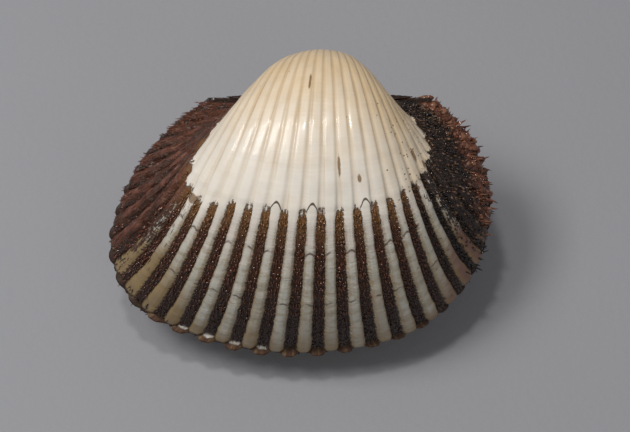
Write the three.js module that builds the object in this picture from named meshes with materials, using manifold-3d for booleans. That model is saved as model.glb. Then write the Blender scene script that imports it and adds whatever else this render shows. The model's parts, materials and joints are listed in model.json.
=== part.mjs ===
// An ark clam shell: two ribbed valves, closed, and the ligament that joins them along the hinge.
// Millimetres. The shell lies on its left valve, as it would on a table, with its back a little
// raised. X runs along the hinge towards the clam's front end, Y towards its back, where the umbones
// are, and Z is up. The origin is on the flat that the shell rests on.
import * as THREE from "three";
import { mergeVertices } from "three/addons/utils/BufferGeometryUtils.js";
import Module from "manifold-3d";

const wasm = await Module();
wasm.setup();

// Driving dimensions, in the shell's own frame: the hinge line is y = 0 and the seam is z = 0.
const RIBS = 34;
const GROOVE_DEPTH = 0.9; // at the edge of the shell, and in proportion above it
const RIB_CROWDING = 0.175; // how much closer the ribs stand by the hinge than at the belly
const SPIRAL = 0.62; // each valve grows as a spiral that widens e-fold every 1/0.62 radians
const MOST_TURN = 3.4; // the spiral stops turning here, so the beak points at the hinge
const TURN_SHARPNESS = 6;
const BEAK = new THREE.Vector3(0.6, 0.6, 2.1);
const SEAM = 0.15; // half of the gap between the closed valves
const WALL = 1.7; // from halfway down a groove to the inside
const HINGE_PLATE = 2.6;
const HINGE_RECESS = 0.6; // how far the plate's inner edge lies back from the seam
const LEFT_OVERLAP = 1.1; // the left valve reaches this far past the right one at the lower rear

// The edge of a valve over its rib crests, from the front end of the hinge line round the belly to
// its rear end.
const EDGE = [
  [15.4, 0],
  [21.4, -6.2],
  [24.1, -15.3],
  [21.6, -25.2],
  [13.6, -33.1],
  [-2.0, -36.4],
  [-15.5, -34.6],
  [-26.3, -29.4],
  [-30.1, -21.4],
  [-26.7, -10.4],
  [-21.4, -4.0],
  [-16.2, 0],
];
const MIDDLE = new THREE.Vector2(-2.5, -17);

// How finely the solids are faceted.
const POINTS_PER_RIB = 4;
const HINGE_POINTS = 6;
const OUTER_STAGES = [1, 0.95, 0.86, 0.75, 0.64, 0.53, 0.42, 0.32, 0.23, 0.15, 0.08];
const INNER_STAGES = [1, 0.93, 0.8, 0.64, 0.48, 0.36];

const TEETH = 26;
const TOOTH = new THREE.Vector3(0.42, 1.2, 1.25);
const TEETH_ROW = { from: -14.0, to: 13.0, y: -1.37 };

const LIGAMENT = { thickness: 0.5, gap: 0.3, reach: 0.86, top: 0.5, rows: 6, columns: 10 };

// The shell rests on the crests of the middle ribs of its left valve, which are worn flat there.
const REST_TILT = THREE.MathUtils.degToRad(26);
const WORN_DEPTH = 0.3;
const REST_RIB = 0.5; // the rib nearest the middle of the flat, as a share of the way round
const TABLE = { width: 80, depth: 10 };

const edgeCurve = new THREE.CatmullRomCurve3(
  EDGE.map(([x, y]) => new THREE.Vector3(x, y, 0)),
  false,
  "centripetal",
);
edgeCurve.arcLengthDivisions = 800;

// The smooth edge at a share of the way round, with the left valve's a little larger than the right's.
function edgeAt(share, side) {
  const crowded = share - (RIB_CROWDING * Math.sin(2 * Math.PI * share)) / (2 * Math.PI);
  const p = edgeCurve.getPointAt(THREE.MathUtils.clamp(crowded, 0, 1));
  const overlap = side < 0 ? LEFT_OVERLAP * Math.sin(Math.PI * share ** 1.3) ** 4 : 0;
  return moveOut(new THREE.Vector2(p.x, p.y), overlap);
}

// A point moved away from the valve's middle.
function moveOut(p, distance) {
  const away = p.clone().sub(MIDDLE).normalize();
  return p.clone().addScaledVector(away, distance);
}

// How deep the grooves are at a share of the way round, from 0 on a rib to 1 in a groove.
// The ribs of one valve stand over the grooves of the other.
function grooveAt(share, side) {
  const phase = 2 * Math.PI * RIBS * share + (side < 0 ? Math.PI : 0);
  const wave = THREE.MathUtils.clamp(1.6 * Math.cos(phase), -1, 1);
  return (0.5 + 0.5 * wave) * Math.min(1, 12 * share, 12 * (1 - share));
}

// A point of the growing edge at an earlier stage, when the valve was size times as large:
// shrunk towards the beak and turned about it.
function atStage(p, size) {
  const turn = -Math.log(size) / SPIRAL;
  const held = turn / (1 + (turn / MOST_TURN) ** TURN_SHARPNESS) ** (1 / TURN_SHARPNESS);
  return p
    .clone()
    .sub(BEAK)
    .multiplyScalar(size)
    .applyAxisAngle(new THREE.Vector3(-1, 0, 0), held)
    .add(BEAK);
}

// The shares of the way round the edge at which a ring has points.
const edgeShares = Array.from(
  { length: RIBS * POINTS_PER_RIB + 1 },
  (_, i) => i / (RIBS * POINTS_PER_RIB),
);

// A closed ring of points at a stage of growth, inset from the edge, with the hinge line as its back.
function ring(side, size, { inset = 0, hingeInset = 0, grooves = 0, recess = 0 } = {}) {
  const flat = edgeShares.map((share) =>
    moveOut(edgeAt(share, side), -inset - grooves * grooveAt(share, side)),
  );
  const [front, rear] = [flat[0], flat.at(-1)];
  for (let i = 1; i < HINGE_POINTS; i++) {
    flat.push(rear.clone().lerp(front, i / HINGE_POINTS));
  }
  return flat.map((p) => {
    const back = THREE.MathUtils.smoothstep(p.y, -9, -1.5);
    const point = new THREE.Vector3(p.x, p.y - hingeInset * back, SEAM + recess * back);
    return atStage(point, size);
  });
}

// A closed surface through rings of equal length, with a fan over each end.
function loft(rings) {
  const count = rings[0].length;
  const positions = rings.flat().flatMap((p) => [p.x, p.y, p.z]);
  const faces = [];
  const at = (k, i) => k * count + (i % count);
  for (let k = 0; k + 1 < rings.length; k++) {
    for (let i = 0; i < count; i++) {
      faces.push(at(k, i), at(k + 1, i), at(k + 1, i + 1));
      faces.push(at(k, i), at(k + 1, i + 1), at(k, i + 1));
    }
  }
  const ends = [0, rings.length - 1];
  ends.forEach((k, end) => {
    const centre = rings[k].reduce((sum, p) => sum.add(p), new THREE.Vector3());
    centre.divideScalar(count);
    const tip = positions.length / 3;
    positions.push(centre.x, centre.y, centre.z);
    for (let i = 0; i < count; i++) {
      if (end) faces.push(at(k, i), tip, at(k, i + 1));
      else faces.push(at(k, i + 1), tip, at(k, i));
    }
  });
  const geometry = new THREE.BufferGeometry();
  geometry.setAttribute("position", new THREE.Float32BufferAttribute(positions, 3));
  geometry.setIndex(faces);
  return geometry;
}

// A closed geometry as a manifold-3d solid, turned inside out first if it has to be.
function toSolid(geometry) {
  geometry.deleteAttribute("normal");
  geometry.deleteAttribute("uv");
  const merged = mergeVertices(geometry, 1e-4);
  const triVerts = new Uint32Array(merged.index.array);
  const mesh = () =>
    new wasm.Mesh({ numProp: 3, vertProperties: merged.attributes.position.array, triVerts });
  const solid = new wasm.Manifold(mesh());
  if (solid.volume() > 0) return solid;
  for (let i = 0; i < triVerts.length; i += 3) {
    [triVerts[i + 1], triVerts[i + 2]] = [triVerts[i + 2], triVerts[i + 1]];
  }
  return new wasm.Manifold(mesh());
}

function toGeometry(solid) {
  const mesh = solid.getMesh();
  const positions = new Float32Array(mesh.numVert * 3);
  for (let i = 0; i < mesh.numVert; i++) {
    positions.set(mesh.vertProperties.subarray(i * mesh.numProp, i * mesh.numProp + 3), i * 3);
  }
  const geometry = new THREE.BufferGeometry();
  geometry.setAttribute("position", new THREE.BufferAttribute(positions, 3));
  geometry.setIndex(new THREE.BufferAttribute(mesh.triVerts, 1));
  geometry.computeVertexNormals();
  return geometry;
}

// The small hinge teeth of one valve. They stand in the gaps between the other valve's teeth.
function teeth(side) {
  const step = (TEETH_ROW.to - TEETH_ROW.from) / TEETH;
  const offset = side > 0 ? 0.25 : 0.75;
  const rows = Array.from({ length: TEETH }, (_, i) => {
    const box = new THREE.BoxGeometry(TOOTH.x, TOOTH.y, TOOTH.z);
    const tip = -0.2;
    box.translate(TEETH_ROW.from + (i + offset) * step, TEETH_ROW.y, tip + TOOTH.z / 2);
    return toSolid(box);
  });
  return rows.reduce((joined, tooth) => joined.add(tooth));
}

// One valve, right way up: a horn that grows as a spiral, with a thinner horn taken out of it.
function valve(side) {
  const outside = OUTER_STAGES.map((size) => ring(side, size, { grooves: GROOVE_DEPTH }));
  const inside = INNER_STAGES.map((size) => {
    const inset = GROOVE_DEPTH / 2 + WALL / size;
    const hingeInset = size === 1 ? HINGE_PLATE - inset : 0;
    return ring(side, size, { inset, hingeInset, recess: HINGE_RECESS });
  });
  const shell = toSolid(loft([...outside.reverse(), ...inside]));
  const geometry = toGeometry(shell.add(teeth(side)));
  if (side < 0) {
    geometry.scale(1, 1, -1);
    geometry.index.array.reverse();
  }
  return geometry;
}

// The hinge line's own path through the stages of growth: it sweeps the flat area under the beaks.
function areaProfile(size) {
  return atStage(new THREE.Vector3(0, 0, SEAM), size);
}

// The ligament: a thin band over the areas of both valves, widest at the hinge line.
function ligament() {
  const { thickness, gap, reach, top, rows, columns } = LIGAMENT;
  const [front, rear] = [EDGE[0][0] * reach, EDGE.at(-1)[0] * reach];
  const outline = (out) =>
    Array.from({ length: 2 * rows + 1 }, (_, r) => {
      const up = (r - rows) / rows;
      const size = 1 - (1 - top) * Math.abs(up);
      const p = areaProfile(size);
      const z = Math.sign(up) * p.z;
      return Array.from({ length: columns + 1 }, (_, c) => {
        const x = THREE.MathUtils.lerp(rear, front, c / columns) * size;
        return new THREE.Vector3(x, p.y + gap + out, z);
      });
    });
  const under = outline(0);
  const over = outline(thickness);
  const rings = under.map((row, r) => [...row, ...[...over[r]].reverse()]);
  return toGeometry(toSolid(loft(rings)));
}

// The worn place on the resting rib: the middle of the flat, once the shell is tilted.
function wornPlace(tiltedValve) {
  const edge = edgeAt(REST_RIB, -1);
  const tilt = new THREE.Euler(REST_TILT, 0, 0);
  const crest = OUTER_STAGES.map((size) => {
    const p = atStage(new THREE.Vector3(edge.x, edge.y, SEAM), size);
    return new THREE.Vector3(p.x, p.y, -p.z).applyEuler(tilt);
  });
  const lowest = crest.reduce((low, p) => (p.z < low.z ? p : low));
  tiltedValve.computeBoundingBox();
  return lowest.setZ(tiltedValve.boundingBox.min.z + WORN_DEPTH);
}

function wearFlat(geometry) {
  const table = new THREE.BoxGeometry(TABLE.width, TABLE.width, TABLE.depth);
  table.translate(0, 0, -TABLE.depth / 2);
  return toGeometry(toSolid(geometry).subtract(toSolid(table)));
}

function piece(name, geometry, colour, roughness) {
  const material = new THREE.MeshStandardMaterial({ color: colour, roughness, metalness: 0 });
  const mesh = new THREE.Mesh(geometry, material);
  mesh.name = name;
  return mesh;
}

const parts = [valve(1), valve(-1), ligament()];
parts.forEach((geometry) => geometry.rotateX(REST_TILT));
const origin = wornPlace(parts[1]);
const [right, left, band] = parts.map((geometry) =>
  geometry.translate(-origin.x, -origin.y, -origin.z),
);

const shell = new THREE.Group();
shell.add(
  piece("right_valve", right, 0xcfc4ae, 0.45),
  piece("left_valve", wearFlat(left), 0xcfc4ae, 0.45),
  piece("ligament", band, 0x2a1712, 0.6),
);

export default shell;
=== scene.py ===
"""Makes the looks of a closed ark clam shell: two ribbed valves with their brown bristly skin, their
hinge teeth and the ligament between them, on a plain floor in soft light."""

import json
import math

import bpy
import numpy as np
from mathutils import Matrix, Vector


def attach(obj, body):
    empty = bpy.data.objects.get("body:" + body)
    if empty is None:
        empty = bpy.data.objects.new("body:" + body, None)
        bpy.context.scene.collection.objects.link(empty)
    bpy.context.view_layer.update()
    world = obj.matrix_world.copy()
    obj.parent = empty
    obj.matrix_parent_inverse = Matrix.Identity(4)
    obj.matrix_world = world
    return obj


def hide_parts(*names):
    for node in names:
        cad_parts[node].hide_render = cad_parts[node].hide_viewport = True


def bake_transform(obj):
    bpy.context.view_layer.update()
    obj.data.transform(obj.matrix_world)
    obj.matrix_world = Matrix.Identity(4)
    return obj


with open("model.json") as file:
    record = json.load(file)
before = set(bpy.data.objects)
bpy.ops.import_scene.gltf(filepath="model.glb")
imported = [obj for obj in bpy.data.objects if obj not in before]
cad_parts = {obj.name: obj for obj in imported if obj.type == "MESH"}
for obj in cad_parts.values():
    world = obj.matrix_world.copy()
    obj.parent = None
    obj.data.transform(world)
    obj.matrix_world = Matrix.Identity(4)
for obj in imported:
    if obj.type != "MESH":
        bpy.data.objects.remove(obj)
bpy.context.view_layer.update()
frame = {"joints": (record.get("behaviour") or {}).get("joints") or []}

bl_info = {
    "name": "Ark clam shell",
    "version": (1, 0, 0),
    "blender": (4, 5, 0),
    "location": "3D View > Sidebar > Ark clam",
    "description": "Makes a closed ark clam shell with its bristly skin, its hinge teeth and its ligament",
    "category": "Object",
}

# The shell's own frame: millimetres, with the hinge line on y = 0 and the seam between the valves on
# z = 0. It is tilted and set down where the joint of the two valves says.
MM = 0.001
HINGE = frame["joints"][0]
TILT = math.radians(26)
SHELL_TO_ROW = (
    Matrix.Translation(HINGE["pos_m"]) @ Matrix.Rotation(TILT, 4, "X") @ Matrix.Scale(MM, 4)
)
SIDES = {"right": 1, "left": -1}

# How the valves grow: each ring is the edge, shrunk towards the beak and turned about it.
RIBS = 34
RIB_CROWDING = 0.175
SPIRAL = 0.62
MOST_TURN = 3.4
TURN_SHARPNESS = 6
BEAK = np.array([0.6, 0.6, 2.1])
LEFT_OVERLAP = 0.8
EDGE = [
    (15.4, 0),
    (21.4, -6.2),
    (24.1, -15.3),
    (21.6, -25.2),
    (13.6, -33.1),
    (-2.0, -36.4),
    (-15.5, -34.6),
    (-26.3, -29.4),
    (-30.1, -21.4),
    (-26.7, -10.4),
    (-21.4, -4.0),
    (-16.2, 0),
]
MIDDLE = np.array([-2.5, -17.0])
GROWTH_LENGTH = 69  # millimetres of surface from the beak to the middle of the belly
BELLY_GAP = 0.05
SEAM_WAVE = 0.3
HINGE_PLATE = 2.6
HINGE_RECESS = 0.6

# The flat area between the beaks: chevrons about its middle, and how far apart they stand.
CHEVRON_MIDDLE = 0.6
CHEVRON_SLANT = 1.6
AREA_CHEVRONS = 1.1
LIGAMENT_CHEVRONS = 0.9

# The ligament: how much of the hinge line it takes up, and where its ridge has died away.
LIGAMENT_SHARE = 0.86
LIGAMENT_REACH = 14.5

# The teeth: how far apart they stand, both ends of their row, and its y and z.
TEETH_PITCH = 0.62
TEETH_ENDS = (-13.4, 13.2)
TEETH_ROW = (-1.25, 0.36)

# The lights, each placed from the middle of the shell as the camera faces it: its name, place and
# size in metres, and its power as a share of the main light's.
LIGHTS = (
    ("key", (-0.21, 0.19, 0.36), 0.16, 1.0),
    ("glint", (-0.05, 0.22, 0.36), 0.035, 0.34),
    ("fill", (0.35, -0.3, 0.5), 0.4, 0.3),
)

# How finely the valves are made.
COLUMNS_PER_RIB = 12
HINGE_COLUMNS = 40
OUTER_ROWS = 158
RIM_ROWS = 7
INNER_ROWS = 34
FIRST_SIZE = 0.05
LAST_INNER_SIZE = 0.34
RIB_UNITS = 36  # the growth map's width, in ribs

# The places where the shell stopped growing for a while, as sizes, and how high the step is there.
HALTS = [(0.28, 0.03), (0.40, 0.04), (0.52, 0.04), (0.612, 0.11), (0.70, 0.07), (0.77, 0.05),
         (0.83, 0.06), (0.885, 0.05), (0.93, 0.07), (0.965, 0.05)]

# Where the skin begins, as rib number and size. Above it the shell is worn bare.
SKIN_LINE_RIBS = [0, 1.5, 3, 5, 6.5, 8, 21, 23, 24.6, 25.6, 26.6, 28, 30, 34]
SKIN_LINE_SIZES = [0.1, 0.24, 0.42, 0.56, 0.61, 0.615, 0.62, 0.65, 0.64, 0.59, 0.51, 0.37, 0.2, 0.1]

# Ribs whose bare crest ends in a dark chipped arc, and worn brown marks on the bare shell, each as
# rib number, size, half its breadth in ribs and half its length in size.
CHIPPED_RIBS = (13.5, 16.5, 18.5)
MARKS = (
    (17.3, 0.35, 0.12, 0.020),
    (14.9, 0.525, 0.10, 0.022),
    (13.7, 0.555, 0.12, 0.009),
    (9.9, 0.634, 0.30, 0.010),
    (8.9, 0.560, 0.12, 0.022),
    (8.4, 0.600, 0.16, 0.012),
    (23.4, 0.65, 0.3, 0.012),
)


def smooth(low, high, x):
    """0 below low, 1 above high, and a smooth rise between."""
    t = np.clip((x - low) / (high - low), 0, 1)
    return t * t * (3 - 2 * t)


def patchy(x, y, seed):
    """Smooth noise from -1 to 1, with one random value at each whole x and y."""
    count = 256
    table = np.random.default_rng(seed).random((count, count)) * 2 - 1
    left, low = np.floor(x).astype(int), np.floor(y).astype(int)
    across, up = smooth(0, 1, x - left), smooth(0, 1, y - low)

    def corner(i, j):
        return table[(left + i) % count, (low + j) % count]

    bottom = corner(0, 0) * (1 - across) + corner(1, 0) * across
    top = corner(0, 1) * (1 - across) + corner(1, 1) * across
    return bottom * (1 - up) + top * up


def edge_curve():
    """The edge as a smooth curve through its points: a centripetal spline, as points and lengths."""
    points = np.array(EDGE, float)
    ends = [2 * points[0] - points[1], 2 * points[-1] - points[-2]]
    line = np.vstack([ends[0], points, ends[1]])
    t = np.linspace(0, 1, 80, endpoint=False)[:, None]
    pieces = []
    for a, b, c, d in zip(line, line[1:], line[2:], line[3:]):
        first, second, third = (np.sum((q - p) ** 2) ** 0.25 for p, q in ((a, b), (b, c), (c, d)))
        out = ((b - a) / first - (c - a) / (first + second) + (c - b) / second) * second
        into = ((c - b) / second - (d - b) / (second + third) + (d - c) / third) * second
        cubic = 2 * b - 2 * c + out + into
        square = -3 * b + 3 * c - 2 * out - into
        pieces.append(b + out * t + square * t**2 + cubic * t**3)
    curve = np.vstack([*pieces, points[-1:]])
    lengths = np.concatenate([[0], np.cumsum(np.linalg.norm(np.diff(curve, axis=0), axis=1))])
    return curve, lengths / lengths[-1]


CURVE, CURVE_SHARE = edge_curve()


def edge_at(share, side):
    """The edge at a share of the way round, from the front end of the hinge, and the way out there."""
    crowded = share - RIB_CROWDING * np.sin(2 * np.pi * share) / (2 * np.pi)
    point = np.stack([np.interp(crowded, CURVE_SHARE, CURVE[:, k]) for k in (0, 1)], axis=-1)
    away = point - MIDDLE
    away /= np.linalg.norm(away, axis=-1, keepdims=True)
    overlap = LEFT_OVERLAP * np.sin(np.pi * share**1.3) ** 4 if side < 0 else 0 * share
    return point + away * overlap[..., None], away


def at_stage(points, size):
    """Points of the edge at an earlier stage, when the valve was size times as large."""
    turn = -np.log(size) / SPIRAL
    held = turn / (1 + (turn / MOST_TURN) ** TURN_SHARPNESS) ** (1 / TURN_SHARPNESS)
    offset = (points - BEAK) * size[..., None]
    y = offset[..., 1] * np.cos(held) + offset[..., 2] * np.sin(held)
    z = offset[..., 2] * np.cos(held) - offset[..., 1] * np.sin(held)
    return np.stack([offset[..., 0], y, z], axis=-1) + BEAK


def from_groove(rib):
    """How far a rib number is from the middle of a groove: 0 in the groove, 0.5 on the rib."""
    return np.abs(rib - np.round(rib))


def groove_at(rib, size, ends):
    """How deep the groove is: 0 on a rib and 1 in a groove. Near the beak the grooves are fine lines."""
    width = 0.13 + 0.125 * smooth(0.57, 0.66, size)
    distance = from_groove(rib)
    groove = 1 - smooth(width - 0.1, width + 0.11, distance)
    crown = 0.3 * ((0.5 - distance) / 0.5) ** 2
    depth = 0.36 + 0.64 * smooth(0.52, 0.72, size)
    return (groove + crown * (1 - groove)) * depth * ends


def skin_depth(rib, size):
    """How far below the line where the skin begins, in millimetres of growth."""
    line = np.interp(rib, SKIN_LINE_RIBS, SKIN_LINE_SIZES)
    return (size - line) * GROWTH_LENGTH


def skin_on_ribs(rib, size):
    """How much the skin covers the ribs too: 0 over the belly and 1 at the two ends."""
    front = 1 - smooth(6.2, 10.6, rib + 4 * (size - 0.8))
    rear = smooth(22.6, 26.2, rib - 3 * (size - 0.8))
    return np.maximum(front, rear)


class Rings:
    """The loops of points that make one valve, from the beak over the rim to the inside."""

    def __init__(self, side, wall, groove_depth):
        self.side = side
        edge_columns = RIBS * COLUMNS_PER_RIB + 1
        share = np.linspace(0, 1, edge_columns)
        self.edge, self.away = edge_at(share, side)
        self.ends = np.minimum(1, np.minimum(12 * share, 12 * (1 - share)))
        shift = 0.5 if side < 0 else 0
        hinge_ribs = np.linspace(RIBS, RIBS + 1, HINGE_COLUMNS + 1)[1:] + shift
        self.rib = np.concatenate([share * RIBS + shift, hinge_ribs])
        self.columns = edge_columns + HINGE_COLUMNS - 1

        outer = np.linspace(FIRST_SIZE, 1, OUTER_ROWS)
        rim = np.linspace(0, 1, RIM_ROWS + 1)[1:]
        inner = 1 - (1 - LAST_INNER_SIZE) * np.linspace(0, 1, INNER_ROWS + 1)[1:] ** 0.9
        zero = np.zeros_like
        self.size = np.concatenate([outer, np.ones(RIM_ROWS), inner])
        self.inside = np.concatenate([zero(outer), rim, np.ones(INNER_ROWS)])
        full_inset = groove_depth / 2 + wall / self.size
        self.inset = self.inside * full_inset
        self.hinge_inset = np.where(self.size == 1, self.inside * (HINGE_PLATE - full_inset), 0)
        self.recess = self.inside * HINGE_RECESS
        self.groove_depth = groove_depth

    def points(self):
        """The places of all the points in the shell's frame, as rows of columns."""
        size = self.size[:, None]
        rib = self.rib[: len(self.edge)][None, :]
        groove = groove_at(rib, np.broadcast_to(size, (len(size), rib.shape[1])), self.ends)
        near_rim = smooth(0.9, 1.0, size)
        outside = 1 - self.inside[:, None]
        relief = self.groove_depth * groove * (outside + 0.45 * (1 - outside) * near_rim)
        out = -self.inset[:, None] - relief
        flat = self.edge[None] + self.away[None] * out[..., None]

        t = np.linspace(0, 1, HINGE_COLUMNS + 1)[1:-1][None, :, None]
        hinge = flat[:, -1:] * (1 - t) + flat[:, :1] * t
        flat = np.concatenate([flat, hinge], axis=1)
        back = smooth(-9, -1.5, flat[..., 1])
        flat[..., 1] -= self.hinge_inset[:, None] * back

        wave = np.cos(2 * np.pi * self.rib[: self.columns]) * np.concatenate(
            [self.ends, np.zeros(HINGE_COLUMNS - 1)]
        )
        height = BELLY_GAP + self.recess[:, None] * back
        height = height + SEAM_WAVE * (1 + wave[None, :]) / 2 * near_rim
        edge_roll = np.sin(np.pi * np.clip(self.inside, 0, 1))[:, None]
        height = height - 0.04 * edge_roll
        loops = np.concatenate([flat, height[..., None]], axis=-1)
        return at_stage(loops, np.broadcast_to(size, loops.shape[:2]))


def normals_of(grid):
    """Unit normals of a closed-round grid of points, row by row."""
    along = np.gradient(grid, axis=0)
    around = np.roll(grid, -1, axis=1) - np.roll(grid, 1, axis=1)
    cross = np.cross(around, along)
    length = np.linalg.norm(cross, axis=-1, keepdims=True)
    return cross / np.maximum(length, 1e-9), along


def halting_steps(rib, size, seed):
    """The height of the steps where growth halted: each old edge stands a little proud."""
    wander = 0.004 * patchy(rib * 0.8, size * 6, seed)
    height = 0
    for halt, step in HALTS:
        past = size - halt - wander
        height = height + step * (1 - smooth(-0.003, 0.003, past)) * np.exp(np.minimum(past, 0) / 0.02)
    return height


def skin_relief(rib, size, groove, thickness, seed):
    """How far the skin stands off the shell: a filling in the grooves, thickest near the edge, and a
    coat over the ribs at both ends, thinnest on the grooves and near the edge."""
    grown = size * GROWTH_LENGTH
    ragged = 0.9 * patchy(rib * 3, grown * 0.9, seed) + 0.5 * patchy(rib * 9, grown * 2, seed + 1)
    begun = smooth(-0.3, 1.2, skin_depth(rib, size) + ragged)
    strands = patchy(rib * 3.4, grown * 0.16, seed + 2)
    fibres = patchy(rib * 8, grown * 0.45, seed + 3)
    lumps = patchy(rib * 2.6, grown * 1.1, seed + 4) * (1 - smooth(6, 11, rib))
    near_rim = smooth(0.9, 0.985, size)
    at_ends = np.maximum(smooth(21.5, 23.5, rib), 1 - smooth(9, 12, rib))
    in_grooves = groove * (0.4 + 0.2 * fibres + near_rim * (0.7 + 1.3 * at_ends))
    on_ribs = skin_on_ribs(rib, size) * (1.1 + 0.35 * strands + 0.4 * fibres + 0.5 * lumps)
    on_ribs = on_ribs * (1 - 0.7 * near_rim)
    bridged = 0.2 + 0.9 * smooth(0.85, 0.98, size)
    on_ribs = on_ribs * (bridged + (1 - bridged) * smooth(0.06, 0.32, from_groove(rib)))
    return begun * thickness * np.maximum(in_grooves, on_ribs)


def set_attribute(mesh, name, values):
    layer = mesh.attributes.new(name, "FLOAT", "POINT")
    layer.data.foreach_set("value", np.ascontiguousarray(values, np.float32).ravel())


def grid_faces(rows, columns):
    """The four corners of each face of a closed-round grid, as rows and as columns of points."""
    row, column = np.meshgrid(np.arange(rows - 1), np.arange(columns), indexing="ij")
    corner_rows = np.stack([row, row + 1, row + 1, row], axis=-1).reshape(-1, 4)
    corner_columns = np.stack([column, column, column + 1, column + 1], axis=-1).reshape(-1, 4)
    return corner_rows, corner_columns


def finished(mesh, name, materials):
    """An object at the origin for a mesh, with its materials and smooth faces."""
    for material in materials:
        mesh.materials.append(material)
    mesh.shade_smooth()
    mesh.update()
    piece = bpy.data.objects.new(name, mesh)
    bpy.context.scene.collection.objects.link(piece)
    return piece


def to_row(points):
    """Points from the shell's frame to the row's, in metres."""
    matrix = np.array(SHELL_TO_ROW)
    return points @ matrix[:3, :3].T + matrix[:3, 3]


OUTSIDE, INSIDE, AREA = range(3)


class Valve:
    """One valve's points in the row's frame, with what the mesh and the bristles need to know there."""

    def __init__(self, side, settings):
        rings = Rings(side, settings.wall / MM, settings.groove_depth / MM)
        grid = rings.points()
        rows, columns = grid.shape[:2]
        self.side = side
        self.rings = rings
        self.seed = 40 if side > 0 else 70
        self.rib = np.broadcast_to(rings.rib[None, :columns], (rows, columns))
        self.size = np.broadcast_to(rings.size[:, None], (rows, columns))

        edge_columns = len(rings.edge)
        groove = np.zeros((rows, columns))
        ribbed = self.rib[:, :edge_columns], self.size[:, :edge_columns]
        groove[:, :edge_columns] = groove_at(*ribbed, rings.ends)
        skin_ends = np.zeros(columns)
        share = np.linspace(0, 1, edge_columns)
        skin_ends[:edge_columns] = smooth(0, 0.03, share) * smooth(0, 0.03, 1 - share)

        normal, along = normals_of(grid)
        relief = halting_steps(self.rib, self.size, self.seed + 9)
        relief = relief + 0.04 * patchy(self.rib * 1.3, self.size * 30, self.seed + 8)
        ripples = patchy(self.rib * 1.7, self.size * 75, self.seed + 7)
        relief = relief + 0.055 * ripples * smooth(0.58, 0.66, self.size)
        skin = skin_relief(self.rib, self.size, groove, settings.skin_thickness / MM, self.seed)
        outside = (rings.inside == 0)[:, None] * skin_ends[None, :]
        fade = smooth(0.1, 0.3, self.size)
        relief = (relief * (1 - smooth(0.985, 1, self.size)) + skin) * outside * fade
        grid = grid + normal * relief[..., None]
        self.scar = muscle_scars(grid)

        along = along / np.maximum(np.linalg.norm(along, axis=-1, keepdims=True), 1e-9)
        mirror = np.array([1, 1, side])
        turn = np.array(Matrix.Rotation(TILT, 3, "X"))
        self.growth = (along * mirror) @ turn.T
        self.outward = (normal * mirror) @ turn.T
        self.placed = to_row(grid * mirror)
        self.placed[..., 2] = np.maximum(self.placed[..., 2], 0)

    def at(self, rib, size):
        """Places on the outside, with the ways out and along the growth there."""
        column = (np.asarray(rib) - (0.5 if self.side < 0 else 0)) * COLUMNS_PER_RIB
        row = (np.asarray(size) - FIRST_SIZE) / (1 - FIRST_SIZE) * (OUTER_ROWS - 1)
        column = np.clip(column, 0, len(self.rings.edge) - 1.001)
        row = np.clip(row, 0, OUTER_ROWS - 1.001)
        i, j = row.astype(int), column.astype(int)
        up, across = (row - i)[:, None], (column - j)[:, None]

        def between(grid):
            first = grid[i, j] * (1 - across) + grid[i, j + 1] * across
            second = grid[i + 1, j] * (1 - across) + grid[i + 1, j + 1] * across
            return first * (1 - up) + second * up

        return between(self.placed), between(self.outward), between(self.growth)


def valve_mesh(name, side, settings):
    """One valve as a closed mesh with its growth map and the attributes that its materials read."""
    valve = Valve(side, settings)
    rings, placed = valve.rings, valve.placed
    rows, columns = placed.shape[:2]

    corner_rows, corner_columns = grid_faces(rows, columns)
    faces = corner_rows * columns + corner_columns % columns
    tips = np.array([placed[0].mean(axis=0), placed[-1].mean(axis=0)])
    count = rows * columns
    around = np.arange(columns)
    after = (around + 1) % columns
    first_fan = np.stack([around, after, np.full(columns, count)], axis=-1)
    last_fan = np.stack(
        [after + count - columns, around + count - columns, np.full(columns, count + 1)], axis=-1
    )
    if side < 0:
        faces, first_fan, last_fan = faces[:, ::-1], first_fan[:, ::-1], last_fan[:, ::-1]
        corner_rows, corner_columns = corner_rows[:, ::-1], corner_columns[:, ::-1]

    mesh = bpy.data.meshes.new(name)
    points = np.vstack([placed.reshape(-1, 3), tips])
    mesh.from_pydata(points.tolist(), [], faces.tolist() + first_fan.tolist() + last_fan.tolist())

    u = rings.rib[np.minimum(corner_columns, len(rings.rib) - 1)] / RIB_UNITS
    v = rings.size[corner_rows]
    fan_uv = np.zeros((2 * columns * 3, 2))
    fan_uv[:, 0] = 0.5
    uv = np.concatenate([np.stack([u, v], axis=-1).reshape(-1, 2), fan_uv])
    mesh.uv_layers.new(name="growth").data.foreach_set("uv", uv.ravel())

    inside = rings.inside[corner_rows].max(axis=1) > 0
    area = (corner_columns.min(axis=1) >= len(rings.edge) - 1) & ~inside
    slots = np.where(inside, INSIDE, np.where(area, AREA, OUTSIDE))
    slots = np.concatenate([slots, np.full(columns, OUTSIDE), np.full(columns, INSIDE)])
    mesh.polygons.foreach_set("material_index", slots.astype(np.int32))

    rim = (1 - rings.inside)[:, None] * (rings.size == 1)[:, None] * np.ones((rows, columns))
    near_hinge = smooth(1.6, 0.2, valve.rib) + smooth(RIBS - 1.6, RIBS - 0.2, valve.rib)
    for key, values in {
        "skin_depth": skin_depth(valve.rib, valve.size),
        "skin_on_ribs": skin_on_ribs(valve.rib, valve.size),
        "scar": valve.scar,
        "rim": np.maximum(rim, np.clip(near_hinge, 0, 1) * (rings.size > 0.97)[:, None]),
    }.items():
        set_attribute(mesh, key, np.concatenate([values.ravel(), [0, 0]]))
    return mesh


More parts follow.
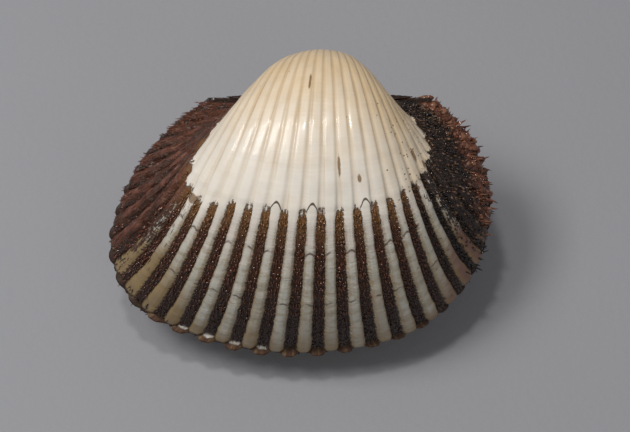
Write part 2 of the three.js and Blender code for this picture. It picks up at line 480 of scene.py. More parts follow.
def muscle_scars(grid):
    """How near a point inside the valve is to the two muscle scars, and to the line between them."""
    x, y = grid[..., 0], grid[..., 1]
    rear = ((x + 17.5) / 4.6) ** 2 + ((y + 12.5) / 3.6) ** 2
    front = ((x - 13.5) / 3.4) ** 2 + ((y + 12.0) / 4.2) ** 2
    ring = np.sqrt(((x + 2.2) / 19.5) ** 2 + ((y + 15.0) / 15.2) ** 2)
    line = np.exp(-(((ring - 1) / 0.025) ** 2)) * smooth(-12, -16, y)
    scars = np.maximum(1 - smooth(0.8, 1.1, rear), 1 - smooth(0.8, 1.1, front))
    return np.maximum(scars, 0.7 * line)


def jittered(random, low, high, step, wander):
    """Values about one step apart from low to high, each moved a little."""
    values = np.arange(low, high, step)
    return values + random.uniform(-wander, wander, len(values)) * step


def row_of_spots(random, rib, wander, first, last, step):
    """Rib numbers and sizes of a row of spots, from below the line where the skin begins to the edge."""
    line = np.interp(rib, SKIN_LINE_RIBS, SKIN_LINE_SIZES)
    grown = jittered(random, line * GROWTH_LENGTH + first, GROWTH_LENGTH - last, step, 0.4)
    return rib + random.uniform(-wander, wander, len(grown)), grown / GROWTH_LENGTH


def groove_spots(random):
    """Rib numbers and sizes in four rows down each groove, and all over the black band at the front."""
    rows = []
    for groove in range(1, RIBS):
        for aside in (-0.2, -0.07, 0.07, 0.2):
            rows.append(row_of_spots(random, groove + aside, 0.03, 0.8, 0.3, 0.6))
    in_grooves = sum(len(size) for _, size in rows)
    for rib in np.arange(0.6, 9.0, 0.2):
        rows.append(row_of_spots(random, rib, 0.07, 0.8, 0.3, 0.5))
    rib, size = np.hstack(rows)
    band = np.arange(len(rib)) >= in_grooves
    narrow = 1 - smooth(0.5, 0.85, size)
    in_groove = 1 - 0.9 * smooth(23.5, 26.5, rib) - 0.4 * narrow
    on_band = skin_on_ribs(rib, size) * blackness(rib, size) * smooth(0.2, 0.35, size)
    keep = random.random(len(rib)) < np.where(band, on_band, in_groove)
    return rib[keep], size[keep]


def flank_spots(random):
    """Rib numbers and sizes of the overlapping plates of skin that cover the front end."""
    columns = np.arange(0.5, 9.0, 0.37)
    rib, size = np.hstack([row_of_spots(random, rib, 0.1, 0.6, 0.2, 0.72) for rib in columns])
    red = skin_on_ribs(rib, size) * (1 - blackness(rib, size)) * smooth(0.3, 0.5, size)
    keep = random.random(len(rib)) < 0.95 * red
    return rib[keep], size[keep]


def strand_spots(random):
    """Rib numbers and sizes of the fine strands that lie along the skin of the rear end."""
    count = 5200
    rib = random.uniform(22.5, RIBS - 0.4, count)
    size = random.uniform(0.2, 0.975, count) ** 0.7
    bunched = smooth(-0.3, 0.5, patchy(rib * 3.0, size * 24, 3))
    begun = smooth(0.5, 2.5, skin_depth(rib, size))
    keep = random.random(count) < (0.35 + 0.65 * bunched) * begun * skin_on_ribs(rib, size)
    return rib[keep], size[keep]


def fringe_spots(random):
    """Rib numbers and sizes of the bristles around the edge, and of more up the front flank."""
    ribs, sizes = [], []
    for groove in range(1, RIBS):
        count = 4 if groove < 22 else 7
        reach = 0.22 if groove < 22 else 0.5
        ribs.append(groove + random.uniform(-reach, reach, count))
        sizes.append(random.uniform(0.972, 0.992, count))
    for rib in np.arange(0.8, 9.5, 0.21):
        ribs.append([rib])
        sizes.append(random.uniform(0.93, 0.99, 1))
    return np.concatenate(ribs), np.concatenate(sizes)


def even_reach(rib):
    """The same length at every rib."""
    return 1.0 + 0 * rib


def fringe_reach(rib):
    """How long the bristles of the edge are: longest at the front, about half that over the belly."""
    return np.interp(rib, [0, 8, 11, 21, 24, 30, RIBS], [1.05, 1.0, 0.6, 0.5, 0.6, 0.6, 0.3])


def blackness(rib, size):
    """How black the skin is: darkest on the band beside the bare front flank, and down the grooves."""
    reach = np.interp(rib, [0, 1, 4, 7, 8.5, 10], [0.80, 0.86, 0.84, 0.92, 1.04, 1.12])
    band = (1 - smooth(reach - 0.03, reach + 0.05, size)) * (1 - smooth(9, 12, rib))
    below = 0.8 * smooth(9, 24, skin_depth(rib, size)) * smooth(8, 12, rib) * (1 - smooth(22, 25, rib))
    return np.clip(np.maximum(band, below), 0, 1)


def bristle_points(name, valve, spots, length, random, splay, reach):
    """A mesh of loose points to stand bristles on, with their ways, lengths and shades."""
    rib, size = spots
    place, outward, growth = valve.at(rib, size)
    usual = 0.6 + 0.45 * random.random(len(rib))
    now_and_then = 0.6 * random.random(len(rib)) ** 5
    lengths = length * reach(rib) * (usual + now_and_then)
    seam = np.array(Matrix.Rotation(TILT, 3, "X")) @ np.array([0, 0, 1])
    aside = outward - (outward @ seam)[:, None] * seam
    splayed = (splay * np.interp(rib, [20, 24], [1, 0.5]))[:, None]
    way = growth * (1 - splayed) + aside * splayed
    clear = place[:, 2] > 0.0004 + lengths * 0.7
    mesh = bpy.data.meshes.new(name)
    mesh.from_pydata(place[clear].tolist(), [], [])
    for key, vectors in {"way": way, "outward": outward}.items():
        layer = mesh.attributes.new(key, "FLOAT_VECTOR", "POINT")
        layer.data.foreach_set("vector", vectors[clear].astype(np.float32).ravel())
    young = 1 - smooth(0.5, 6, skin_depth(rib, size))
    set_attribute(mesh, "length", lengths[clear])
    set_attribute(mesh, "blackness", blackness(rib, size)[clear])
    set_attribute(mesh, "amber", (young * (1 - 0.85 * smooth(11, 9, rib)))[clear])
    front = 1 - smooth(9, 12, rib)
    set_attribute(mesh, "redness", ((0.4 + 0.6 * skin_on_ribs(rib, size)) * (1 + 0.7 * front))[clear])
    set_attribute(mesh, "shade", random.random(len(rib))[clear])
    return mesh


# Node helpers.


class Nodes:
    """A node tree, with short ways to add nodes to it and join them."""

    def __init__(self, tree):
        self.tree = tree

    def join(self, output, socket):
        self.tree.links.new(output, socket)

    def fill(self, socket, value):
        """Sets an input to a value, or joins it to an output."""
        if isinstance(value, bpy.types.NodeSocket):
            self.join(value, socket)
        else:
            socket.default_value = value

    def put(self, kind, inputs=None, **settings):
        """Adds a node with its settings, and fills its inputs."""
        node = self.tree.nodes.new(kind)
        for key, value in settings.items():
            setattr(node, key, value)
        for key, value in (inputs or {}).items():
            self.fill(node.inputs[key], value)
        return node

    def calc(self, operation, *values, clamp=False):
        inputs = dict(enumerate(values))
        return self.put("ShaderNodeMath", inputs, operation=operation, use_clamp=clamp).outputs[0]

    def plus(self, a, b):
        return self.calc("ADD", a, b)

    def minus(self, a, b):
        return self.calc("SUBTRACT", a, b)

    def times(self, a, b):
        return self.calc("MULTIPLY", a, b)

    def times_plus(self, a, b, c, clamp=False):
        """a times b, plus c."""
        return self.calc("MULTIPLY_ADD", a, b, c, clamp=clamp)

    def larger(self, a, b):
        return self.calc("MAXIMUM", a, b)

    def nudged(self, value, wander, amount):
        """A value moved up and down by noise whose middle is a half."""
        return self.times_plus(self.minus(wander, 0.5), amount, value)

    def rise(self, value, low, high):
        """0 below low, 1 above high, and smooth between. Falls instead if low is the larger."""
        inputs = {"Value": value, "From Min": low, "From Max": high}
        return self.put("ShaderNodeMapRange", inputs, interpolation_type="SMOOTHSTEP").outputs[0]

    def mixed(self, factor, first, second, blend_type="MIX"):
        """One colour going over to another."""
        inputs = {0: factor, 6: first, 7: second}
        return self.put("ShaderNodeMix", inputs, data_type="RGBA", blend_type=blend_type).outputs[2]

    def between(self, factor, first, second):
        """One value going over to another."""
        return self.put("ShaderNodeMix", {0: factor, 2: first, 3: second}).outputs[0]

    def noise(self, vector, scale, detail=2.0, roughness=0.5):
        inputs = {"Vector": vector, "Scale": scale, "Detail": detail, "Roughness": roughness}
        return self.put("ShaderNodeTexNoise", inputs).outputs["Fac"]

    def stretched(self, vector, scale):
        return self.put("ShaderNodeVectorMath", {0: vector, 1: scale}, operation="MULTIPLY").outputs[0]

    def ribbed_noise(self, lengths, across, along, detail, roughness):
        """Noise on the growth map: so many cells to a rib, and so many to a millimetre of growth."""
        return self.noise(self.stretched(lengths, (across, along, 1)), 1.0, detail, roughness)

    def place(self):
        return self.put("ShaderNodeTexCoord").outputs["Object"]

    def attribute(self, name):
        return self.put("ShaderNodeAttribute", attribute_name=name).outputs["Fac"]

    def growth_map(self):
        """The growth map as a vector, and as the rib number and the size."""
        uv = self.put("ShaderNodeUVMap", uv_map="growth").outputs[0]
        lengths = self.stretched(uv, (RIB_UNITS, GROWTH_LENGTH, 1))
        split = self.put("ShaderNodeSeparateXYZ", {0: lengths})
        size = self.calc("DIVIDE", split.outputs[1], float(GROWTH_LENGTH))
        return lengths, split.outputs[0], size

    def bump(self, height, distance, strength=1.0):
        inputs = {"Height": height, "Distance": distance, "Strength": strength}
        return self.put("ShaderNodeBump", inputs).outputs[0]

    def use_group(self, group, **values):
        return self.put("ShaderNodeGroup", values, node_tree=group).outputs

    def into(self, surface, **values):
        """Fills the inputs of the surface shader, named with underscores for spaces."""
        for key, value in values.items():
            self.fill(surface.inputs[key.replace("_", " ")], value)


def add_sockets(tree, inputs, outputs):
    """Gives a node group its inputs, each with a kind and a default, and its outputs."""
    sockets = {}
    for key, (kind, default) in inputs.items():
        socket = tree.interface.new_socket(key, in_out="INPUT", socket_type=kind)
        if default is not None:
            socket.default_value = default
        sockets[key] = socket.identifier
    for key, kind in outputs.items():
        tree.interface.new_socket(key, in_out="OUTPUT", socket_type=kind)
    return sockets


def new_group(kind, name, inputs, outputs):
    """An empty node group, its input and output nodes, and its inputs' identifiers by name."""
    tree = bpy.data.node_groups.new(name, kind)
    sockets = add_sockets(tree, inputs, outputs)
    return Nodes(tree), tree.nodes.new("NodeGroupInput"), tree.nodes.new("NodeGroupOutput"), sockets


def new_material(name, display):
    material = bpy.data.materials.new(name)
    material.use_nodes = True
    material.diffuse_color = display
    tree = material.node_tree
    return material, Nodes(tree), tree.nodes["Principled BSDF"]


def lime_grain_group():
    """Fine growth lines and radial threads of limy shell, used by both faces of the valves."""
    inputs = {"Lines": ("NodeSocketFloat", 1.0), "Threads": ("NodeSocketFloat", 1.0)}
    outputs = {"Height": "NodeSocketFloat", "Tint": "NodeSocketFloat"}
    nodes, start, end, _ = new_group("ShaderNodeTree", "lime_grain", inputs, outputs)
    lengths, _, _ = nodes.growth_map()
    lines = nodes.ribbed_noise(lengths, 0.35, 3.2, 3, 0.6)
    threads = nodes.ribbed_noise(lengths, 9.0, 0.16, 2, 0.55)
    cloud = nodes.ribbed_noise(lengths, 0.5, 0.22, 3, 0.6)
    raised_lines = nodes.times(lines, start.outputs["Lines"])
    raised_threads = nodes.times(threads, start.outputs["Threads"])
    nodes.join(nodes.plus(raised_lines, raised_threads), end.inputs["Height"])
    nodes.join(nodes.times_plus(lines, 0.3, nodes.times(cloud, 0.7)), end.inputs["Tint"])
    return nodes.tree


class ValveNodes(Nodes):
    """The nodes of a valve's outside, with the places and patterns that its parts share."""

    def __init__(self, tree):
        super().__init__(tree)
        self.lengths, self.rib, self.size = self.growth_map()
        self.from_middle = self.calc("PINGPONG", self.rib, 0.5)
        self.depth = self.attribute("skin_depth")
        self.over_ribs = self.attribute("skin_on_ribs")
        self.fine = self.pattern(3.0, 1.1, 4, 0.65)
        self.fibres = self.pattern(9.0, 0.4, 3, 0.6)
        self.lumps = self.pattern(6.0, 2.6, 3, 0.6)
        self.patches = self.pattern(0.8, 0.3, 2, 0.5)
        self.aged = self.rise(self.times_plus(self.fine, 2.0, self.depth), 0.0, 4.0)

    def pattern(self, across, along, detail, roughness):
        return self.ribbed_noise(self.lengths, across, along, detail, roughness)

    def off(self, value, middle):
        """How far a value is from a middle one."""
        return self.calc("ABSOLUTE", self.minus(value, middle))


def bare_colour(nodes, colours):
    """Bare shell: cream at the umbo and on the front flank, whiter towards the belly."""
    warm = nodes.times_plus(nodes.rise(nodes.rib, 14.0, 9.0), 0.55, nodes.rise(nodes.size, 0.6, 0.24))
    warm = nodes.times_plus(nodes.minus(nodes.patches, 0.5), 0.7, warm, clamp=True)
    bare = nodes.mixed(warm, colours.white, colours.cream)
    tan_streaks = nodes.rise(nodes.pattern(4.5, 0.09, 2, 0.5), 0.5, 0.72)
    in_groove = nodes.rise(nodes.from_middle, 0.3, 0.05)
    fading = nodes.times_plus(nodes.rise(nodes.size, 0.62, 0.42), 0.3, 0.12)
    groove_tan = nodes.times(in_groove, nodes.times_plus(tan_streaks, 0.4, fading))
    return nodes.mixed(groove_tan, bare, colours.tan)


def rib_colour(nodes, colours, bare):
    """Ribs below the line where the skin begins: grey-white, then grey-green, then tan at the edge."""
    depth, patches, rib = nodes.depth, nodes.patches, nodes.rib
    by_rib = nodes.pattern(1.05, 0.03, 1, 0.5)
    ribs = nodes.mixed(nodes.aged, bare, colours.rib_grey)
    greener = nodes.rise(nodes.times_plus(by_rib, 9.0, depth), 7.0, 15.0)
    ribs = nodes.mixed(greener, ribs, colours.rib_green)
    milky = nodes.times(nodes.rise(patches, 0.45, 0.7), nodes.rise(depth, 0.0, 3.0))
    ribs = nodes.mixed(nodes.times(milky, 0.5), ribs, colours.rib_grey)
    blotches = nodes.rise(nodes.pattern(1.6, 1.0, 3, 0.65), 0.47, 0.62)
    blotches = nodes.times(blotches, nodes.rise(depth, 2.0, 10.0))
    ribs = nodes.mixed(nodes.times(blotches, 0.42), ribs, colours.edge_tan)
    olive = nodes.times(nodes.rise(by_rib, 0.42, 0.66), nodes.rise(depth, 6.0, 16.0))
    ribs = nodes.mixed(nodes.times(olive, 0.4), ribs, colours.edge_tan)

    flanks = nodes.larger(nodes.rise(rib, 19.5, 24.0), nodes.rise(rib, 11.5, 8.5))
    edge_place = nodes.times_plus(flanks, 0.15, nodes.times_plus(patches, 0.16, nodes.size))
    edge_tan = nodes.times(nodes.rise(edge_place, 0.985, 1.1), 0.9)
    ends_colour = nodes.mixed(nodes.rise(rib, 13.0, 9.0), colours.edge_tan, colours.skin_red)
    ribs = nodes.mixed(edge_tan, ribs, ends_colour)

    # Thin remains of the skin on the sides of the ribs.
    beside = nodes.times(nodes.rise(nodes.from_middle, 0.42, 0.3), nodes.rise(depth, 0.5, 4.0))
    beside = nodes.times(beside, nodes.rise(nodes.lumps, 0.3, 0.6))
    return nodes.mixed(nodes.times(beside, 0.75), ribs, colours.edge_tan)


def halt_stains(nodes):
    """Chipped arcs over three ribs where the bare shell ends, and faint lines where growth halted."""
    off_crest = nodes.minus(0.5, nodes.from_middle)
    arch = nodes.times(nodes.times(off_crest, off_crest), 0.2)
    wavy = nodes.times_plus(arch, -1.0, nodes.times(nodes.fine, 0.004))
    arched = nodes.plus(nodes.size, wavy)
    chips = 0.0
    for chipped in CHIPPED_RIBS:
        chips = nodes.larger(chips, nodes.rise(nodes.off(nodes.rib, chipped), 0.36, 0.27))
    faint = nodes.rise(nodes.pattern(0.9, 0.4, 2, 0.5), 0.45, 0.57)
    faint = nodes.times(faint, nodes.rise(nodes.from_middle, 0.18, 0.3))
    lines = (
        (0.6, 0.0024, chips, 0.95),
        (0.703, 0.0024, faint, 0.8),
        (0.83, 0.002, faint, 0.8),
    )
    stains = 0.0
    for halt, spread, where, strength in lines:
        line = nodes.times(nodes.rise(nodes.off(arched, halt), spread * 1.7, spread * 0.5), where)
        stains = nodes.larger(stains, nodes.times(line, strength))
    return stains


def worn_marks(nodes):
    """Small worn marks on the bare shell."""
    marks = 0.0
    for mark_rib, mark_size, breadth, length in MARKS:
        across = nodes.calc("DIVIDE", nodes.minus(nodes.rib, mark_rib), breadth)
        along = nodes.calc("DIVIDE", nodes.minus(nodes.size, mark_size), length)
        squares = nodes.times_plus(across, across, nodes.times(along, along))
        worn = nodes.nudged(squares, nodes.fine, 2.0)
        marks = nodes.larger(marks, nodes.rise(worn, 1.2, 0.5))
    return marks


def dark_specks(nodes):
    """Dark specks, most of them beside the black band on the front flank."""
    vector = nodes.stretched(nodes.lengths, (3.4, 1.7, 1))
    specks = nodes.put("ShaderNodeTexVoronoi", {"Vector": vector, "Scale": 1.0})
    picked = nodes.put("ShaderNodeSeparateColor", {0: specks.outputs["Color"]}).outputs[0]
    small = nodes.rise(specks.outputs["Distance"], 0.3, 0.16)
    near_band = nodes.times(nodes.rise(nodes.rib, 12.6, 8.6), nodes.rise(nodes.size, 0.36, 0.48))
    near_band = nodes.times(near_band, nodes.rise(nodes.patches, 0.38, 0.55))
    chance = nodes.times_plus(near_band, -0.72, 0.985)
    return nodes.times(small, nodes.rise(nodes.minus(picked, chance), 0.0, 0.02))


def skin_mask(nodes):
    """Where the skin is: in the grooves, and over the ribs at both ends, with ragged borders."""
    ragged = nodes.times_plus(nodes.fine, 3.4, nodes.times_plus(nodes.fibres, 2.6, nodes.depth))
    begun = nodes.rise(nodes.minus(ragged, 3.0), -0.25, 0.35)
    width = nodes.times_plus(nodes.rise(nodes.size, 0.57, 0.66), 0.105, 0.15)
    rough_edge = nodes.nudged(nodes.from_middle, nodes.lumps, 0.2)
    groove = nodes.rise(nodes.minus(rough_edge, width), 0.03, -0.03)
    on_rib = nodes.nudged(nodes.over_ribs, nodes.fibres, 1.2)
    on_rib = nodes.rise(nodes.nudged(on_rib, nodes.lumps, 0.7), 0.42, 0.56)
    return nodes.times(begun, nodes.larger(groove, on_rib))


def skin_colour(nodes, colours):
    """Amber where the skin begins, then brown, then nearly black; red-brown over the ribs.
    Where the skin covers the ribs, the darker valleys are partly painted shade.
    """
    folds = nodes.pattern(2.6, 0.14, 2, 0.5)
    older = nodes.rise(nodes.times_plus(nodes.fibres, 5.0, nodes.depth), 2.0, 9.0)
    oldest = nodes.rise(nodes.times_plus(nodes.fine, 6.0, nodes.depth), 8.0, 20.0)
    brown = nodes.mixed(older, colours.skin_amber, colours.skin_brown)
    brown = nodes.mixed(nodes.times(oldest, 0.7), brown, colours.skin_black)
    # Painted shade, in part: where skin covers the ribs, the valleys keep the darker groove colour and only
    # the crests take the lighter crest colour.
    crest_skin_and_valley_shade = nodes.times(nodes.over_ribs, nodes.rise(nodes.from_middle, 0.16, 0.4))
    crest = nodes.mixed(nodes.rise(folds, 0.4, 0.6), colours.skin_brown, colours.skin_red)
    # Painted highlight, in part: pale streaks along the crests stand for sheen as well as for pale strands.
    pale = nodes.times(nodes.rise(nodes.fibres, 0.52, 0.68), nodes.rise(folds, 0.45, 0.6))
    crest = nodes.mixed(nodes.times(pale, 0.55), crest, colours.skin_strand_and_sheen)
    brown = nodes.mixed(crest_skin_and_valley_shade, brown, crest)

    # The black band beside the bare front flank.
    ranges = {"From Min": 6.0, "From Max": 10.0, "To Min": 0.85, "To Max": 1.1}
    reach = nodes.put("ShaderNodeMapRange", {"Value": nodes.rib, **ranges}).outputs[0]
    outer = nodes.minus(nodes.times_plus(nodes.lumps, 0.08, nodes.size), reach)
    band = nodes.times(nodes.rise(outer, 0.07, 0.0), nodes.rise(nodes.rib, 12.0, 9.5))
    return nodes.mixed(nodes.times(band, 0.9), brown, colours.skin_black)


def outside_material(grain, colours):
    """Glossy cream shell above, ribs that turn grey and tan below, and the brown skin."""
    material, plain, surface = new_material("valve_outside", colours.cream)
    nodes = ValveNodes(plain.tree)
    limy = nodes.use_group(grain, Lines=1.0, Threads=0.7)

    shell = rib_colour(nodes, colours, bare_colour(nodes, colours))
    shell = nodes.mixed(halt_stains(nodes), shell, colours.stain)
    shell = nodes.mixed(nodes.times(worn_marks(nodes), 0.85), shell, colours.mark)
    shell = nodes.mixed(nodes.times(dark_specks(nodes), 0.85), shell, colours.stain)
    shade = nodes.times_plus(limy["Tint"], 0.4, 0.8)
    shell = nodes.mixed(1.0, shell, shade, "MULTIPLY")
    skin = skin_mask(nodes)

    bare_roughness = nodes.times_plus(nodes.rise(nodes.depth, -6.0, 3.0), 0.1, 0.3)
    bare_roughness = nodes.times_plus(limy["Tint"], 0.12, bare_roughness)
    skin_roughness = nodes.times_plus(nodes.lumps, 0.3, 0.14)
    shell_height = nodes.times(limy["Height"], nodes.times_plus(nodes.aged, 0.25, 0.1))
    skin_height = nodes.times_plus(nodes.fibres, 2.0, nodes.lumps)
    nodes.into(
        surface,
        Base_Color=nodes.mixed(skin, shell, skin_colour(nodes, colours)),
        Roughness=nodes.between(skin, bare_roughness, skin_roughness),
        Normal=nodes.bump(nodes.between(skin, shell_height, skin_height), 0.00024),
        Specular_IOR_Level=0.4,
        Coat_Weight=0.2,
        Coat_Roughness=0.1,
    )
    return material


def inside_material(grain, colours):
    """Porcelain-like white, duller on the muscle scars, with brown and tan skin over the rim."""
    material, nodes, surface = new_material("valve_inside", colours.white)
    limy = nodes.use_group(grain, Lines=0.5, Threads=0.5)
    scar = nodes.attribute("scar")
    lengths, rib, size = nodes.growth_map()
    base = nodes.mixed(nodes.rise(size, 0.85, 1.0), colours.pearl, colours.white)
    base = nodes.mixed(nodes.times(scar, 0.45), base, colours.scar)
    base = nodes.mixed(nodes.times(nodes.rise(limy["Tint"], 0.45, 0.75), 0.3), base, colours.cream)

    # The rim: clean on a few ribs, tan over the belly and nearly black at both ends.
    clean = nodes.times(nodes.rise(rib, 17.4, 18.4), nodes.rise(rib, 22.2, 21.4))
    uneven = nodes.ribbed_noise(lengths, 5.0, 1.0, 3, 0.6)
    stained = nodes.times_plus(clean, -0.36, nodes.attribute("rim"))
    stained = nodes.rise(nodes.nudged(stained, uneven, 0.4), 0.12, 0.3)
    belly = nodes.times(nodes.rise(rib, 10.0, 13.0), nodes.rise(rib, 26.0, 24.5))
    tan = nodes.times(nodes.rise(uneven, 0.45, 0.65), nodes.times(belly, 0.55))
    rim_colour = nodes.mixed(tan, colours.skin_brown, colours.edge_tan)
    ends = nodes.larger(nodes.rise(rib, 22.2, 23.4), nodes.rise(rib, 13.0, 11.0))
    rim_colour = nodes.mixed(nodes.times(ends, 0.65), rim_colour, colours.skin_black)

    height = nodes.times_plus(limy["Height"], 0.25, nodes.times(scar, -0.6))
    nodes.into(
        surface,
        Base_Color=nodes.mixed(stained, base, rim_colour),
        Roughness=nodes.times_plus(stained, 0.5, nodes.times_plus(scar, 0.16, 0.26)),
        Normal=nodes.bump(height, 0.00015, 0.7),
        Coat_Weight=0.1,
        Coat_Roughness=0.1,
    )
    return material


def teeth_material(colours):
    """White shell with a cream tint, lined across."""
    material, nodes, surface = new_material("hinge_teeth", colours.white)
    place = nodes.place()
    tint = nodes.rise(nodes.noise(place, 700.0, 3, 0.6), 0.4, 0.7)
    lines = nodes.noise(nodes.stretched(place, (600.0, 600.0, 5000.0)), 1.0, 2, 0.5)
    nodes.into(
        surface,
        Base_Color=nodes.mixed(nodes.times(tint, 0.6), colours.white, colours.cream),
        Roughness=nodes.times_plus(lines, 0.2, 0.25),
        Normal=nodes.bump(lines, 0.00003, 0.6),
        Coat_Weight=0.1,
        Coat_Roughness=0.1,
    )
    return material


def band_material(name, colours, spacing):
    """The horny brown of the ligament and of the area under it, with chevron grooves."""
    material, nodes, surface = new_material(name, colours.skin_black)
    place = nodes.place()
    to_hinge = tuple(-x for x in HINGE["pos_m"])
    centred = nodes.put("ShaderNodeMapping", {"Vector": place, "Location": to_hinge})
    turned = nodes.put("ShaderNodeMapping", {"Vector": centred.outputs[0], "Rotation": (-TILT, 0, 0)})
    parts = nodes.put("ShaderNodeSeparateXYZ", {0: turned.outputs[0]})
    x = nodes.calc("ABSOLUTE", nodes.minus(parts.outputs[0], CHEVRON_MIDDLE * MM))
    z = nodes.calc("ABSOLUTE", parts.outputs[2])
    slant = nodes.times_plus(z, CHEVRON_SLANT, x)
    wander = nodes.noise(place, 400.0, 2, 0.5)
    phase = nodes.times_plus(slant, 1 / (spacing * MM), nodes.times(wander, 0.6))
    cut = nodes.rise(nodes.calc("PINGPONG", phase, 0.5), 0.16, 0.02)
    mottle = nodes.noise(place, 1500.0, 4, 0.65)
    colour = nodes.mixed(mottle, colours.skin_black, colours.skin_brown)
    nodes.into(
        surface,
        Base_Color=nodes.mixed(nodes.times(cut, 0.7), colour, colours.skin_black),
        Roughness=nodes.times_plus(mottle, 0.3, 0.3),
        Normal=nodes.bump(nodes.minus(nodes.times(mottle, 0.5), cut), 0.0002, 0.9),
    )
    return material


def bristle_material(colours):
    """Wet brown horn: amber where the skin begins, black on the dark band, red-brown elsewhere."""
    material, nodes, surface = new_material("bristle_horn", colours.skin_brown)
    streak = nodes.noise(nodes.place(), 2600.0, 2, 0.6)
    redness = nodes.times(nodes.attribute("shade"), nodes.attribute("redness"))
    colour = nodes.mixed(redness, colours.skin_brown, colours.skin_red)
    colour = nodes.mixed(nodes.attribute("blackness"), colour, colours.skin_black)
    colour = nodes.mixed(nodes.times(nodes.attribute("amber"), 0.8), colour, colours.skin_amber)
    pale = nodes.times(nodes.rise(redness, 0.75, 1.3), nodes.rise(streak, 0.35, 0.6))
    nodes.into(
        surface,
        Base_Color=nodes.mixed(nodes.times(pale, 0.6), colour, colours.skin_strand_and_sheen),
        Roughness=nodes.times_plus(streak, 0.2, 0.1),
        Specular_IOR_Level=0.12,
        Normal=nodes.bump(streak, 0.00004, 0.3),
        Coat_Weight=0.7,
        Coat_Roughness=0.035,
    )
    return material


def floor_material(colour):
    material, nodes, surface = new_material("pale_floor", colour)
    place = nodes.place()
    darker = tuple(c * 0.94 for c in colour[:3]) + (1,)
    cloudy = nodes.mixed(nodes.noise(place, 30.0, 3, 0.5), darker, colour)
    grit = nodes.noise(place, 900.0, 3, 0.6)
    nodes.into(surface, Base_Color=cloudy, Roughness=0.75, Normal=nodes.bump(grit, 0.0002, 0.4))
    return material


# Geometry Nodes for what repeats.

GEOMETRY_OUT = {"Geometry": "NodeSocketGeometry"}


def made_by_nodes(source, tree, sockets, values, name):
    """The plain mesh object that a tree makes from a source mesh. The source object goes away."""
    maker = bpy.data.objects.new(name + "_maker", source)
    bpy.context.scene.collection.objects.link(maker)
    modifier = maker.modifiers.new("nodes", "NODES")
    modifier.node_group = tree
    for key, value in values.items():
        modifier[sockets[key]] = value
    graph = bpy.context.evaluated_depsgraph_get()
    mesh = bpy.data.meshes.new_from_object(maker.evaluated_get(graph))
    mesh.name = name
    maker.modifiers.remove(modifier)
    bpy.data.objects.remove(maker)
    if not mesh.polygons:
        raise RuntimeError(name + " came out empty")
    piece = bpy.data.objects.new(name, mesh)
    bpy.context.scene.collection.objects.link(piece)
    return piece


def horn_mesh(name, sides, stations, width, flatness, curl, blunt):
    """A tapering curved horn of unit length along z, closed at both ends. A blunt one is round-tipped."""
    points = [(0.0, 0.0, -0.04)]
    for station in range(stations):
        t = station / stations
        pointed = (1 - t) ** 0.7 * (0.8 + 0.6 * t)
        rounded = math.sqrt(1 - t**2.6) * (0.7 + 0.5 * t)
        radius = width * (pointed + (rounded - pointed) * blunt)
        for k in range(sides):
            angle = 2 * math.pi * (k + 0.5 * (station % 2)) / sides
            across, thick = radius * math.cos(angle), radius * flatness * math.sin(angle)
            points.append((across, thick - curl * t * t, t))
    points.append((0.0, -curl, 1.0))
    faces = []
    for station in range(stations - 1):
        low, high = 1 + station * sides, 1 + (station + 1) * sides
        for k in range(sides):
            after = (k + 1) % sides
            faces.append((low + k, low + after, high + after, high + k))
    last = 1 + (stations - 1) * sides
    for k in range(sides):
        after = (k + 1) % sides
        faces.append((0, 1 + after, 1 + k))
        faces.append((last + k, last + after, len(points) - 1))
    mesh = bpy.data.meshes.new(name)
    mesh.from_pydata(points, [], faces)
    mesh.shade_smooth()
    return mesh


def end_with(nodes, instances, material, end):
    """Makes the instances real, gives them their material and ends the tree with them."""
    real = nodes.put("GeometryNodeRealizeInstances", {0: instances.outputs[0]})
    painted = nodes.put("GeometryNodeSetMaterial", {"Geometry": real.outputs[0], "Material": material})
    nodes.join(painted.outputs[0], end.inputs[0])


def bristle_tree(material):
    """Stands a bristle on each loose point, leaning the way that the point says."""
    inputs = {
        "Geometry": ("NodeSocketGeometry", None),
        "Bristle": ("NodeSocketObject", None),
        "Lift": ("NodeSocketFloat", 0.4),
        "Spread": ("NodeSocketFloat", 0.3),
        "Seed": ("NodeSocketInt", 1),
    }
    nodes, start, end, sockets = new_group("GeometryNodeTree", "bristle_rows", inputs, GEOMETRY_OUT)

    def named(name, kind="FLOAT"):
        return nodes.put("GeometryNodeInputNamedAttribute", {"Name": name}, data_type=kind).outputs[0]

    def vector(operation, a, b):
        return nodes.put("ShaderNodeVectorMath", {0: a, 1: b}, operation=operation).outputs[0]

    def scaled(a, factor):
        return nodes.put("ShaderNodeVectorMath", {0: a, "Scale": factor}, operation="SCALE").outputs[0]

    outward = named("outward", "FLOAT_VECTOR")
    random = nodes.put("FunctionNodeRandomValue", {"Seed": start.outputs["Seed"]}, data_type="FLOAT_VECTOR")
    random.inputs[0].default_value = (-1, -1, -1)
    random.inputs[1].default_value = (1, 1, 1)
    wobble = scaled(random.outputs[0], start.outputs["Spread"])
    lifted = scaled(outward, start.outputs["Lift"])
    way = vector("ADD", vector("ADD", named("way", "FLOAT_VECTOR"), lifted), wobble)
    pointed = nodes.put("FunctionNodeAlignRotationToVector", {"Vector": way}, axis="Z")
    laid = nodes.put(
        "FunctionNodeAlignRotationToVector",
        {"Rotation": pointed.outputs[0], "Vector": outward},
        axis="Y",
        pivot_axis="Z",
    )
    shape = nodes.put("GeometryNodeObjectInfo", {"Object": start.outputs["Bristle"]}).outputs["Geometry"]
    bristles = nodes.put(
        "GeometryNodeInstanceOnPoints",
        {
            "Points": start.outputs["Geometry"],
            "Instance": shape,
            "Rotation": laid.outputs[0],
            "Scale": named("length"),
        },
    )
    end_with(nodes, bristles, material, end)
    return nodes.tree, sockets


